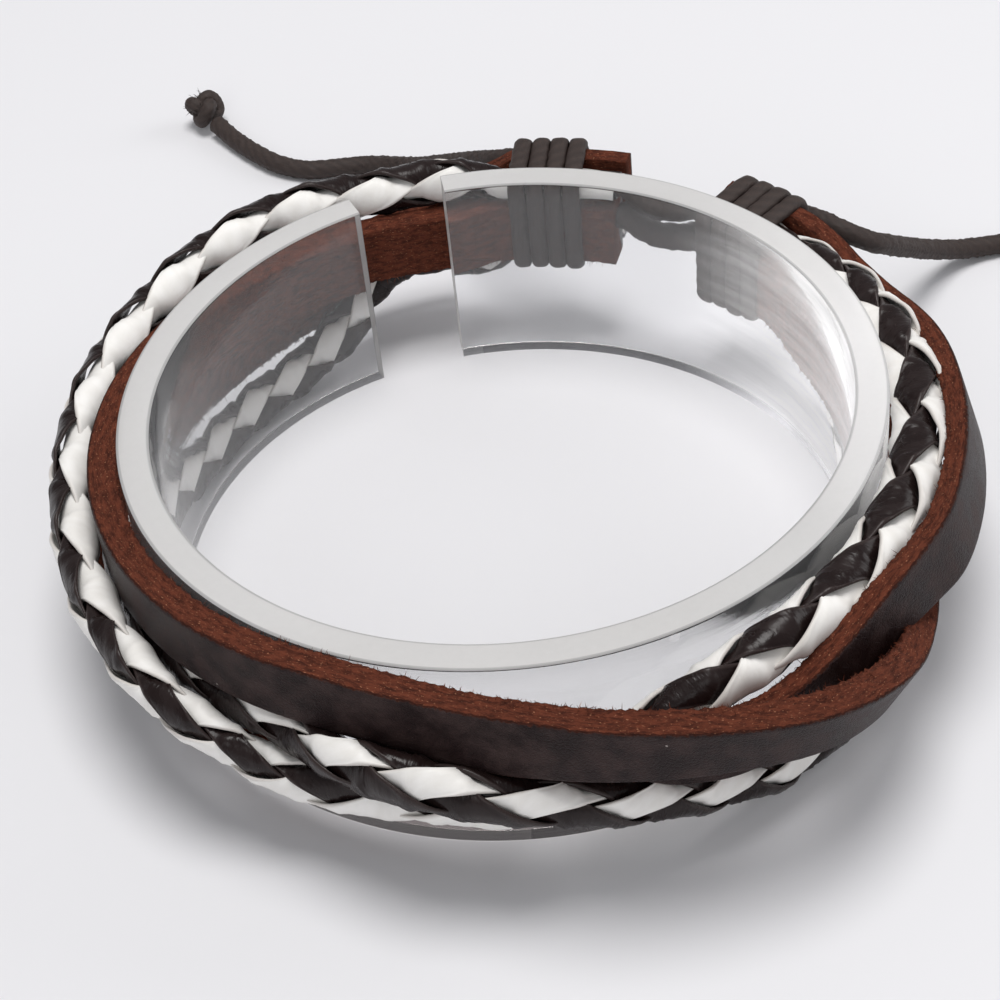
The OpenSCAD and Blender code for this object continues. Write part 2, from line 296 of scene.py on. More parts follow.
def laceMaterial(look):
    # coated lace in two tones, crinkled, its edges painted by the piece's own attribute laceEdge, 0 in the
    # middle
    # and 1 at the edge: painted shade on the white, a painted highlight on the black; roughness follows the
    # tone where a range is given
    material, tree, shader = newMaterial(look["name"], look["plain"])
    crinkle = useGroup(tree, crinkleGroup, {"Place": uvPlace(tree), "Scale": look["crinkle"]})
    base = blendColour(tree, spread(tree, crinkle["Tone"], 0.3, 0.7), look["low"], look["high"])
    # painted light: edge shade on the white lace, an edge highlight on the black
    edge = spread(tree, attribute(tree, "laceEdge"), *look["paintedEdgeRange"])
    rim = calc(tree, "MULTIPLY", edge, look["paintedEdgeShare"])
    fill(tree, shader, {"Base Color": blendColour(tree, rim, base, look["rim"]),
                        "Normal": bump(tree, crinkle["Height"], *look["bump"])})
    if "roughRange" in look:
        fill(tree, shader, {"Roughness": spread(tree, crinkle["Tone"], 0.25, 0.75, *look["roughRange"])})
    return material


cordFinish = {
    "along": 4.4, "around": 6.6, "yarn": 0.06, "stretch": (3.0, 6.0, 1.0), "fibres": 1.6,
    "low": (0.024, 0.0145, 0.012, 1), "high": (0.066, 0.043, 0.036, 1), "rough": (0.5, 0.75),
    "bump": (0.8, 0.0001),
}


def cordMaterial():
    # waxed cotton cord: yarns are a sine of the place along plus the place around, with fine fibres on them
    look = cordFinish
    material, tree, shader = newMaterial("waxedCord", {})
    place = uvPlace(tree)
    parts = put(tree, "ShaderNodeSeparateXYZ", {0: place}).outputs
    around = calc(tree, "MULTIPLY", parts[1], look["around"])
    turn = calc(tree, "MULTIPLY_ADD", parts[0], look["along"], around)
    fibres = noiseAt(tree, stretched(tree, place, look["stretch"]), look["fibres"], 6.0, 0.7)
    height = calc(tree, "MULTIPLY_ADD", calc(tree, "SINE", turn), look["yarn"], fibres)
    fill(tree, shader, {
        "Base Color": blendColour(tree, spread(tree, height, 0.3, 0.9), look["low"], look["high"]),
        "Roughness": spread(tree, fibres, 0.3, 0.7, *look["rough"]),
        "Normal": bump(tree, height, *look["bump"])})
    return material


clearFinish = {
    "colour": (0.95, 0.955, 0.965, 1), "streaks": (90.0, 90.0, 900.0), "rough": (0.03, 0.1),
    # painted light: a glow on the right-hand wall, and a painted shadow on the foot at the front
    "paintedGlow": (0.21, 0.207, 0.207, 1), "paintedGlowX": (0.016, 0.027), "paintedGlowY": (-0.012, 0.004),  # metres
    "foot": (0.3, 0.27, 0.265, 1), "footShadowY": (-0.026, -0.016), "footShadowZ": (0.003, 0.006),
    "bump": (0.1, 0.0001), "shadowPass": 0.55,
    "plain": {"Transmission Weight": 0.975, "IOR": 1.47, "Emission Strength": 1.0},
}


def clearMaterial():
    # clear plastic wall with faint drawn streaks; a painted glow on the right-hand wall stands in for the
    # light that it catches and reflects, and a painted shadow darkens the foot at the front so that it is
    # lost in the braid's shadow
    look = clearFinish
    material, tree, shader = newMaterial("clearPlastic", look["plain"])
    place = put(tree, "ShaderNodeTexCoord").outputs["Object"]
    parts = put(tree, "ShaderNodeSeparateXYZ", {0: place}).outputs
    streaks = noiseAt(tree, stretched(tree, place, look["streaks"]), 1.0, 3.0)
    right = calc(tree, "MULTIPLY", spread(tree, parts[0], *look["paintedGlowX"]),
                 spread(tree, parts[1], *look["paintedGlowY"]))
    # painted light: the wall's glow on the right-hand side, broken up by the streaks
    paintedGlow = calc(tree, "MULTIPLY", right, spread(tree, streaks, 0.35, 0.7, 0.5, 1.0))
    # painted shadow: the foot at the front turns dark, standing in for the braid's shadow on it
    foot = calc(tree, "MULTIPLY", spread(tree, parts[1], *look["footShadowY"], 1.0, 0.0),
                spread(tree, parts[2], *look["footShadowZ"], 1.0, 0.0))
    fill(tree, shader, {
        "Base Color": blendColour(tree, foot, look["colour"], look["foot"]),
        "Emission Color": blendColour(tree, paintedGlow, (0, 0, 0, 1), look["paintedGlow"]),
        "Roughness": spread(tree, streaks, 0.3, 0.8, *look["rough"]),
        "Normal": bump(tree, streaks, *look["bump"])})
    passLight(tree, shader, look["shadowPass"])
    return material


satinFinish = {
    "low": (0.86, 0.85, 0.84, 1), "high": (0.92, 0.91, 0.9, 1), "marks": (2500.0, 2500.0, 2500.0),
    # painted shade: the grey line near each edge of the sawn top
    "line": (0.42, 0.42, 0.42, 1), "lineShare": 0.6, "outerShadeLine": (30.7, 30.82), "innerShadeLine": (28.48, 28.6),
    "rough": (0.4, 0.6), "bump": (0.2, 0.00005), "shadowPass": 0.55,
    "plain": {"Transmission Weight": 0.4, "IOR": 1.3},
}


def satinMaterial():
    # sawn faces of the clear plastic: nearly white, with a painted grey shade line near both edges, by the
    # radius in mm
    look = satinFinish
    material, tree, shader = newMaterial("satinPlastic", look["plain"])
    place = put(tree, "ShaderNodeTexCoord").outputs["Object"]
    marks = noiseAt(tree, stretched(tree, place, look["marks"]), 1.0, 5.0)
    face = blendColour(tree, marks, look["low"], look["high"])
    flat = stretched(tree, place, (1000.0, 1000.0, 0.0))
    radius = put(tree, "ShaderNodeVectorMath", {0: flat}, operation="LENGTH").outputs["Value"]
    # painted shade: grey lines just inside the outer and inner edges stand in for the dark refraction there
    rimShade = calc(tree, "ADD", spread(tree, radius, *look["outerShadeLine"]),
                spread(tree, radius, *look["innerShadeLine"], 1.0, 0.0))
    fill(tree, shader, {
        "Base Color": blendColour(tree, calc(tree, "MULTIPLY", rimShade, look["lineShare"]), face, look["line"]),
        "Roughness": spread(tree, marks, 0.3, 0.7, *look["rough"]),
        "Normal": bump(tree, marks, *look["bump"])})
    passLight(tree, shader, look["shadowPass"])
    return material


def passLight(tree, shader, share):
    # lets a share of the lamps' light through to what stands behind the plastic
    output = next(n for n in tree.nodes if n.type == "OUTPUT_MATERIAL")
    path = put(tree, "ShaderNodeLightPath")
    clear = put(tree, "ShaderNodeBsdfTransparent")
    factor = calc(tree, "MULTIPLY", path.outputs["Is Shadow Ray"], share)
    mix = put(tree, "ShaderNodeMixShader", {0: factor, 1: shader.outputs[0], 2: clear.outputs[0]})
    tree.links.new(mix.outputs[0], output.inputs["Surface"])


strapLeather, waxedCord = strapMaterial(), cordMaterial()
whiteLace, blackLace = laceMaterial(whiteFinish), laceMaterial(blackFinish)
clearPlastic, satinPlastic = clearMaterial(), satinMaterial()
print("materials ready")


# shapes: lengths are in millimetres until a piece is made
def routeValue(route, column, angle):
    # smooth value of a table's column: cubic between rows, each row's slope that of the line through its
    # neighbours, level at both ends
    x, y = route[:, 0], route[:, column]
    slope = np.zeros_like(x)
    slope[1:-1] = (y[2:] - y[:-2]) / (x[2:] - x[:-2])
    i = np.clip(np.searchsorted(x, angle) - 1, 0, len(x) - 2)
    w = x[i + 1] - x[i]
    u = (angle - x[i]) / w
    return ((1 + 2 * u) * (1 - u) ** 2 * y[i] + u * (1 - u) ** 2 * w * slope[i]
            + u * u * (3 - 2 * u) * y[i + 1] + u * u * (u - 1) * w * slope[i + 1])


def together(*parts):
    # arrays broadcast to one grid and set side by side as the columns of a point
    return np.stack(np.broadcast_arrays(*parts), -1)


def polar(angle, radius, height):
    # x is radius times cosine and y radius times sine of the angle in degrees, z is the height
    turn = np.radians(angle)
    return together(radius * np.cos(turn), radius * np.sin(turn), height)


def unit(v):
    # vectors over their own lengths
    return v / np.maximum(np.linalg.norm(v, axis=-1, keepdims=True), 1e-9)


def lengthAlong(points):
    # the distance of each point from the first, measured along the line
    steps = np.linalg.norm(np.diff(points, axis=0), axis=1)
    return np.concatenate([[0], np.cumsum(steps)])


def wobble(points, size, seed, waves=7):
    # smooth noise of about -1..1 at points: a sum of sines in random directions, size is the wave length
    draw = np.random.default_rng(seed)
    directions = unit(draw.normal(size=(waves, points.shape[-1]))) * draw.uniform(0.6, 1.6, (waves, 1))
    phases = draw.uniform(0, 2 * np.pi, waves)
    return np.sin(points @ directions.T * (2 * np.pi / size) + phases).sum(-1) / math.sqrt(waves * 2)


def gridFaces(rows, columns):
    # quads between rows of closed rings, wound so that a ring turning left about its path faces outwards
    start = np.arange(rows - 1)[:, None] * columns
    a, b = start + np.arange(columns), start + (np.arange(columns) + 1) % columns
    return np.stack([a, b, b + columns, a + columns], -1).reshape(-1, 4)


def tubeMesh(points):
    # points is rows x columns x 3: quads along it and a face over each end
    rows, columns = points.shape[:2]
    ends = np.stack([np.arange(columns)[::-1], (rows - 1) * columns + np.arange(columns)])
    return points.reshape(-1, 3), gridFaces(rows, columns), ends


def outwards(points, quads):
    # the quads point outwards if the signed volume under them is positive
    p = points[quads]
    total = np.einsum("ij,ij->i", p[:, 0], np.cross(p[:, 1], p[:, 2])).sum()
    total += np.einsum("ij,ij->i", p[:, 0], np.cross(p[:, 2], p[:, 3])).sum()
    return total > 0


def newPiece(name, parts, materials, replaced=(), maps=None, marks=None):
    # parts is a list of (points, quads, ends); maps holds each part's length map, marks its attribute values
    faces, base = [], 0
    for points, quads, ends in parts:
        way = 1 if outwards(points, quads) else -1
        faces += (quads[:, ::way] + base).tolist() + (ends[:, ::way] + base).tolist()
        base += len(points)
    mesh = bpy.data.meshes.new(name)
    mesh.from_pydata((np.concatenate([part[0] for part in parts]) * mm).tolist(), [], faces)
    mesh.shade_smooth()
    if maps is not None:
        corners = np.empty(len(mesh.loops), np.int32)
        mesh.loops.foreach_get("vertex_index", corners)
        layer = mesh.uv_layers.new(name="lengthMap")
        layer.data.foreach_set("uv", np.concatenate(maps)[corners].astype(np.float32).ravel())
    for label, values in (marks or {}).items():
        mesh.attributes.new(label, "FLOAT", "POINT").data.foreach_set("value", np.concatenate(values))
    for material in materials:
        mesh.materials.append(material)
    mesh.validate()
    piece = bpy.data.objects.new(name, mesh)
    scene.collection.objects.link(piece)
    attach(piece, "root")
    if replaced:
        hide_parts(*replaced)
    return piece


def smoothPath(points, step):
    # a cubic curve through the points, sloped at each as the line between its neighbours, in even steps
    p = np.asarray(points, float)
    ends = np.concatenate([[2 * p[0] - p[1]], p, [2 * p[-1] - p[-2]]])
    t = np.linspace(0, 1, 24, endpoint=False)[:, None]
    p0, p1, p2, p3 = (ends[i:len(ends) - 3 + i, None] for i in range(4))
    curve = 0.5 * (2 * p1 + (p2 - p0) * t + (2 * p0 - 5 * p1 + 4 * p2 - p3) * t ** 2
                   + (3 * p1 - p0 - 3 * p2 + p3) * t ** 3)
    curve = np.concatenate([curve.reshape(-1, 3), p[-1:]])
    along = lengthAlong(curve)
    even = np.linspace(0, along[-1], max(8, int(along[-1] / step)))
    return np.stack([np.interp(even, along, curve[:, k]) for k in range(3)], -1)


def cordFrames(path):
    # side and top directions of a path, level where it can be
    ahead = unit(np.gradient(path, axis=0))
    side = unit(np.cross(ahead, [0, 0, 1.0]) + 1e-6)
    return side, np.cross(side, ahead)


cordLook = {"width": 1.9, "ply": 3, "pitch": 5.5, "ripple": 0.015, "ragged": 0.03, "raggedSize": 0.9,
            "fuzz": 0.02, "fuzzSize": 0.35, "step": 0.16, "sides": 30}


def cordSurface(path, width, seed):
    # a round section carried along the path, with the ply's shallow lobes turning once a pitch, and roughened
    look = cordLook
    side, top = cordFrames(path)
    along = lengthAlong(path)[:, None]
    turn = np.linspace(0, 2 * np.pi, look["sides"], endpoint=False)[None, :]
    lobes = np.abs(np.cos((turn * look["ply"] + 2 * np.pi * look["ply"] * along / look["pitch"]) / 2))
    radius = width / 2 * (1 - look["ripple"] + look["ripple"] * 2 * (lobes - 0.6))
    around = together(along, np.cos(turn) * 2, np.sin(turn) * 2)
    radius = radius + width * look["ragged"] * wobble(around, look["raggedSize"], seed)
    radius = radius + width * look["fuzz"] * wobble(around, look["fuzzSize"], seed + 1)
    circle = side[:, None] * np.cos(turn)[..., None] + top[:, None] * np.sin(turn)[..., None]
    uv = together(along, turn * width / 2).reshape(-1, 2)
    return path[:, None] + radius[..., None] * circle, uv


def makeCord(name, node, path, seed):
    # one run of the waxed cord along a path
    points, uv = cordSurface(path, cordLook["width"], seed)
    return newPiece(name, [tubeMesh(points)], [waxedCord], (node,), [uv])


def looseFibres(roots, directions, seed, length, thick):
    # short hairs: three-sided tapering prisms, bent towards a random side by the square of the way along
    draw = np.random.default_rng(seed)
    n = len(roots)
    reach = draw.uniform(*length, n)[:, None]
    bend = unit(draw.normal(size=(n, 3))) * 0.5
    side = unit(np.cross(directions, unit(draw.normal(size=(n, 3)))))
    other = np.cross(directions, side)
    rows = []
    for share, taper in ((0.0, 1.0), (0.35, 0.85), (0.7, 0.6), (1.0, 0.2)):
        centre = roots + directions * reach * share + bend * reach * share ** 2
        for k in range(3):
            angle = 2 * math.pi * k / 3
            rows.append(centre + (side * math.cos(angle) + other * math.sin(angle)) * thick * taper)
    first = (np.arange(n) * len(rows))[:, None, None]
    quads = (gridFaces(4, 3) + first).reshape(-1, 4)
    ends = (np.array([[2, 1, 0], [9, 10, 11]]) + first).reshape(-1, 3)
    return np.stack(rows, 1).reshape(-1, 3), quads, ends


# free cord ends: each leaves its winding, falls to the surface and ends in a knot there; columns x, y, z
tails = {
    "leftTail": {
        "node": "left_tail", "knotNode": "left_knot", "knot": "leftKnot", "seed": 11,
        "route": [
            [7.2, 39, 14.2], [4.6, 39.7, 13.9], [2.2, 41.4, 12.8], [0.2, 44.4, 10.9], [-1.8, 48, 8.5],
            [-3.8, 52, 5.8], [-5.8, 55.6, 3.4], [-8, 58.6, 1.7], [-11, 60.3, 1], [-14.2, 60.4, 1],
            [-17.4, 60.6, 1], [-20.4, 62.2, 1], [-22.8, 64.7, 1], [-25, 67.6, 1], [-27, 70.6, 1.3]]},
    "rightTail": {
        "node": "right_tail", "knotNode": "right_knot", "knot": "rightKnot", "seed": 23,
        "route": [
            [28.5, 27.9, 12.8], [29.6, 26.7, 13], [30.7, 25.5, 13.1], [32.5, 24, 12.8], [34.7, 24, 11.5],
            [36, 25, 10.4], [37.2, 26.4, 9], [39.3, 29, 6.6], [41.9, 31.8, 4], [44.7, 34, 2],
            [47.7, 35.2, 1.1], [50.8, 35.5, 1], [53, 35.4, 1], [55.1, 35.1, 1.1], [57.2, 34.6, 1.3]]},
}
knotLook = {"width": 4.4, "cord": 1.55, "gap": 0.05, "steps": 150, "lowest": 0.02,
            "fibres": 90, "fibreLength": (0.3, 0.75), "fibreThick": 0.05}


def makeKnot(tail, path):
    # an overhand knot pulled tight: the cord runs through a trefoil, and its cut end frays
    look = knotLook
    tip, way = path[-1], unit((path[-1] - path[-6]) * [1, 1, 0])
    centre = tip * [1, 1, 0] + way * (look["width"] / 2 + look["gap"]) + [0, 0, look["width"] / 2]
    t = np.linspace(0, 2 * np.pi, look["steps"])
    reach = (look["width"] - look["cord"]) / 2
    across = np.cross([0, 0, 1.0], way)
    local = np.stack([np.sin(t) + 2 * np.sin(2 * t), np.cos(t) - 2 * np.cos(2 * t), -np.sin(3 * t) * 1.6], -1)
    local = local * reach / 3
    line = centre + local[:, :1] * way + local[:, 1:2] * across + local[:, 2:] * [0, 0, 1.0]
    points, uv = cordSurface(line, look["cord"], tail["seed"] + 5)
    draw = np.random.default_rng(tail["seed"] + 9)
    out = unit(way + draw.normal(size=(look["fibres"], 3)) * 0.55)
    out[:, 2] = np.abs(out[:, 2]) * 0.7
    out = unit(out)
    roots, thick = centre + out * reach * 0.95, look["fibreThick"]
    hair = looseFibres(roots, out, tail["seed"] + 3, look["fibreLength"], thick)
    hair[0][:, 2] = np.maximum(hair[0][:, 2], thick)
    points[..., 2] = np.maximum(points[..., 2], look["lowest"])
    return newPiece(tail["knot"], [tubeMesh(points), hair], [waxedCord],
                    (tail["knotNode"],), [uv, np.zeros((len(hair[0]), 2))])


def makeTails():
    # each tail is cord along its own path, with its knot on the end
    for name, tail in tails.items():
        path = smoothPath(tail["route"], cordLook["step"])
        piece = makeCord(name, tail["node"], path, tail["seed"])
        knot = makeKnot(tail, path)


makeTails()


# straps: columns angle, radius of the inner face, height of the top edge, lean of the foot outwards
frontStrap = {
    "name": "frontStrap", "node": "front_strap", "thick": 2.4, "seed": 31, "fibres": 2600,
    "route": np.array([
        [67.5, 32.4, 13.9, 0], [83, 32.4, 13.9, 0], [87, 32.4, 13.9, 0], [96, 31.3, 13.9, 0],
        [120, 31.3, 15, 0], [150, 31.3, 16, 0], [180, 31.3, 17.2, 0], [210, 31.3, 18.2, 0],
        [240, 31.3, 19.2, 0], [250, 31.5, 19, 0], [258, 32, 18.6, 2], [264, 33.2, 18.9, 3],
        [270, 34.8, 19.5, 1], [276, 36.3, 19.7, -3], [283, 37.6, 19.4, -8], [290, 38.7, 18.7, -13],
        [300, 39.9, 17.3, -18], [308, 39.6, 15.5, -22], [315, 38.5, 13.5, -24], [322, 36.8, 11.9, -21],
        [330, 34.8, 10.6, -16], [338, 32.7, 10.2, -9], [347, 31.5, 10.3, -2], [360, 31.3, 10.8, 0],
        [385, 31.3, 12.2, 0], [398, 32.4, 13.1, 0], [402, 32.4, 13.1, 0], [412, 32.4, 13.1, 0]])}
outerStrap = {
    "name": "outerStrap", "node": "outer_strap", "thick": 1.8, "seed": 47, "fibres": 1500,
    "route": np.array([
        [67.5, 35.6, 16.8, 0], [82.5, 35.6, 16.8, 0], [84.5, 35.6, 16.7, 0], [86.5, 35.9, 15.8, 0],
        [89, 36.6, 14.6, 0], [91, 37, 13.8, 0], [95, 37.1, 12.3, 0], [98, 37.1, 11.4, 0],
        [106, 36.7, 10.8, 0], [112, 35.9, 10.4, 0], [118, 35, 10.1, 0], [135, 34.2, 10, 0],
        [150, 34.3, 9.9, 0], [165, 34.6, 8.8, 0], [175, 34.6, 7.4, 0], [182, 34, 6.6, 0],
        [190, 32.4, 6.2, 0], [198, 31.3, 6.2, 0], [212, 31.2, 7.2, 0], [225, 31.2, 8.4, 0],
        [238, 31.2, 8.9, 0], [248, 31.2, 10.2, 0], [256, 31.2, 12, 0],
        [262, 31.2, 12.8, 0], [266, 31.2, 14.8, 0], [270, 31.9, 16.3, 0], [276, 33.9, 17.1, 0],
        [282, 34.8, 16.5, 0], [288, 35.1, 15.1, 0], [294, 35.3, 14.1, 0], [300, 35.2, 14, 0],
        [308, 35.2, 15.3, 0], [316, 35.3, 17, 2], [323, 35.6, 17.6, 9], [330, 35.8, 17.5, 17],
        [345, 35.4, 17.4, 18], [360, 35.1, 17.1, 15], [368, 35.2, 16.3, 10], [375, 35.3, 15.3, 6],
        [382, 35.3, 14.5, 3], [388, 35.4, 14.6, 1], [393, 35.5, 15.4, 0], [398, 35.6, 16, 0],
        [402, 35.6, 16, 0], [412, 35.6, 16, 0]])}
strapLook = {"width": 5.6, "grainRound": 0.32, "rawRound": 0.12, "step": 0.2, "ragged": 0.07, "wave": 0.06,
             "fibreLength": (0.12, 0.42), "fibreThick": 0.03}


def strapProfile(thick, width):
    # closed section from the top inner corner: out along the cut edge, down the grain, back in, up the flesh
    # side; its columns are out and down, and the second result is the distance past the grain's corner
    g, f = strapLook["grainRound"], strapLook["rawRound"]
    turn = np.radians(np.linspace(0, 90, 5))
    bend = np.stack([np.sin(turn), 1 - np.cos(turn)], -1)
    top = [[x, 0] for x in np.linspace(f, thick - g, 9)[:-1]]
    outTop = [[thick - g + g * s, g * c] for s, c in bend]
    face = [[thick, y] for y in np.linspace(g, width - g, 15)[1:-1]]
    outLow = [[thick - g + g * s, width - g * c] for s, c in bend[::-1]]
    low = [[x, width] for x in np.linspace(thick - g, f, 9)[1:]]
    inLow = [[f - f * s, width - f * c] for s, c in bend[1::2]]
    flesh = [[0, y] for y in np.linspace(width - f, f, 9)[1:]]
    inTop = [[f - f * s, f * c] for s, c in bend[::-1][1::2]]
    points = np.array(top + outTop + face + outLow + low + inLow + flesh + inTop)
    fromEdge = np.minimum(points[:, 1], width - points[:, 1])
    onFace = points[:, 0] > thick - 0.02
    return points, np.where(onFace, fromEdge - g * 0.4, points[:, 0] - thick + g * 0.3)


def strapPoints(route, angle, local):
    # a section's place: out and down from the route, leaning with it, and taller where the route climbs, by
    # one over the cosine of the slope
    lean = np.radians(routeValue(route, 3, angle))[:, None]
    radius, height = routeValue(route, 1, angle)[:, None], routeValue(route, 2, angle)[:, None]
    rise = (routeValue(route, 2, angle + 0.5) - routeValue(route, 2, angle - 0.5)) / math.radians(1)
    out, down = local[..., 0], local[..., 1] * np.sqrt(1 + (rise[:, None] / radius) ** 2)
    return polar(angle[:, None], radius + np.cos(lean) * out + np.sin(lean) * down,
                 height + np.sin(lean) * out - np.cos(lean) * down)


def strapHair(strap, points, angle, profile, edge, seed):
    # loose fibres on the flesh half of both cut edges, leaning up or down and inwards; the rows and columns
    # that they stand on go with them
    look, n = strapLook, strap["fibres"]
    draw = np.random.default_rng(seed)
    row = draw.integers(2, len(angle) - 2, n)
    column = draw.choice(np.nonzero((profile[:, 0] < strap["thick"] * 0.45) & (edge > 0.2))[0], n)
    up = np.where(profile[column, 1] < look["width"] / 2, 1.0, -1.0)[:, None] * [0, 0, 1.0]
    inward = -polar(angle[row], 1.0, 0.0)
    way = up * draw.uniform(0.2, 1, (n, 1)) + inward * draw.uniform(0.1, 1, (n, 1))
    way = unit(way + draw.normal(size=(n, 3)) * 0.5)
    hair = looseFibres(points[row, column], way, seed + 1, look["fibreLength"], look["fibreThick"])
    return hair, row, column


def makeStrap(strap):
    # the section carried along the route at even steps, its raw faces ragged and the whole a little wavy
    route, look, seed = strap["route"], strapLook, strap["seed"]
    rough = np.linspace(route[0, 0], route[-1, 0], 2000)
    along = lengthAlong(polar(rough, routeValue(route, 1, rough), routeValue(route, 2, rough)))
    rows = int(along[-1] / look["step"])
    length = np.linspace(0, along[-1], rows)
    angle = np.interp(length, along, rough)
    profile, past = strapProfile(strap["thick"], look["width"])
    around = lengthAlong(profile)
    place = together(length[:, None], profile[None, :, 0], profile[None, :, 1])
    raw = np.clip(0.3 - past, 0.0, 1.0)
    flesh = np.clip(1 - profile[:, 0] / 0.5, 0, 1)
    edge = (np.minimum(profile[:, 1], look["width"] - profile[:, 1]) < 0.15) * raw
    local = np.repeat(profile[None], rows, 0)
    rag = look["ragged"] * (0.35 + flesh) * raw
    local[..., 0] += rag * (wobble(place, 0.7, seed) + 0.7 * wobble(place, 0.33, seed + 1))
    local[..., 0] += look["wave"] * 0.5 * wobble(place * [1, 0, 0.6], 9, seed + 5)
    outer = np.where(profile[:, 1] < look["width"] / 2, -1, 1) * edge
    local[..., 1] += outer * look["ragged"] * 0.6 * wobble(place, 0.8, seed + 2)
    local[..., 1] += look["wave"] * wobble(together(length, 0.0), 17, seed + 4)[:, None]
    points = strapPoints(route, angle, local)
    hair, row, column = strapHair(strap, points, angle, profile, edge, seed + 6)
    uv = together(length[:, None], around[None, :]).reshape(-1, 2)
    hairMap = np.repeat(together(length[row], around[column]), 12, 0)
    past = np.broadcast_to(past, (rows, len(profile))).ravel()
    past = [past, np.full(len(hair[0]), -1.0)]
    newPiece(strap["name"], [tubeMesh(points), hair], [strapLeather], (strap["node"],),
             [uv, hairMap], {"fromCorner": past})


makeStrap(frontStrap)
makeStrap(outerStrap)
print("straps ready")


# braids: the route's columns are angle, radius and height of the middle, thickness and height of the section;
# the weave's are length, half turns of the laces, and the way the white columns face, in degrees up from
# straight outwards; favour gives lengths and, there, how much wider the black laces are than the white
longBraid = {
    "node": "long_braid", "white": "longBraidWhiteLaces", "black": "longBraidBlackLaces", "seed": 61,
    "route": np.array([
        [67.5, 33.8, 15.4, 2.7, 2.7], [83, 33.8, 15.4, 2.7, 2.7], [86, 33.8, 15.4, 2.7, 2.7],
        [90, 34.5, 15.5, 3.3, 3.6], [95, 34.8, 15.8, 3.8, 4.3], [104, 35, 15.7, 3.8, 4.4],
        [112, 35.4, 16.1, 3.8, 4.4], [122, 35.6, 16.7, 3.8, 4.3], [135, 35.6, 16.5, 3.7, 4.2],
        [146, 35.6, 15.8, 3.7, 4.2], [158, 35.6, 15.3, 3.7, 4.2], [170, 35.6, 14.6, 3.7, 4.2],
        [185, 35.6, 13.4, 3.7, 4.2], [200, 35.7, 12.5, 3.6, 4.2], [212, 35.8, 12, 3.4, 4.2],
        [222, 35.8, 11.2, 3.2, 4.1], [230, 35.1, 9.6, 2.9, 3.8], [238, 34.5, 8.1, 2.8, 3.9],
        [246, 34.3, 8, 2.5, 4.1], [254, 34.2, 8.2, 2.4, 4.1], [262, 34.2, 8, 2.4, 4.1],
        [267, 34.2, 7.5, 2.3, 4], [271, 33.5, 7.6, 2.4, 4], [276, 32.8, 9.2, 2.9, 4],
        [280, 32.8, 11, 3.2, 4], [285, 33, 12.7, 3.6, 4.1], [291, 33.1, 14.1, 3.9, 4.2],
        [298, 33.1, 15, 4.1, 4.3], [306, 33.2, 15.5, 4.3, 4.4], [330, 33.3, 15.9, 4.5, 4.4],
        [345, 33.4, 15.9, 4.6, 4.4], [358, 33.5, 15.8, 4.6, 4.4], [378, 33.4, 15.5, 4.1, 4.2],
        [390, 33.5, 15, 3.1, 3.6], [398, 33.8, 14.6, 2.7, 2.7], [402, 33.8, 14.6, 2.7, 2.7],
        [412, 33.8, 14.6, 2.7, 2.7]]),
    "weave": np.array([
        [0, -4.2, -12], [17, -1.91, -14], [26, -0.69, -24], [34.1, 0.45, -35], [43.7, 1.72, -42],
        [58, 3.6, -50], [80.8, 6.6, -46], [96.3, 8.6, -45], [108.3, 10.5, -42], [124.7, 12.7, -32],
        [138.7, 14.5, -20], [145.3, 15.45, -8], [153.2, 16.45, 0], [160.9, 17.4, 8], [168.2, 18.4, 10],
        [176, 19.4, 8], [183.7, 20.4, 4], [215, 24.5, 5]]),
    "favour": ([30, 55, 134], [0.3, -0.7, -0.7])}
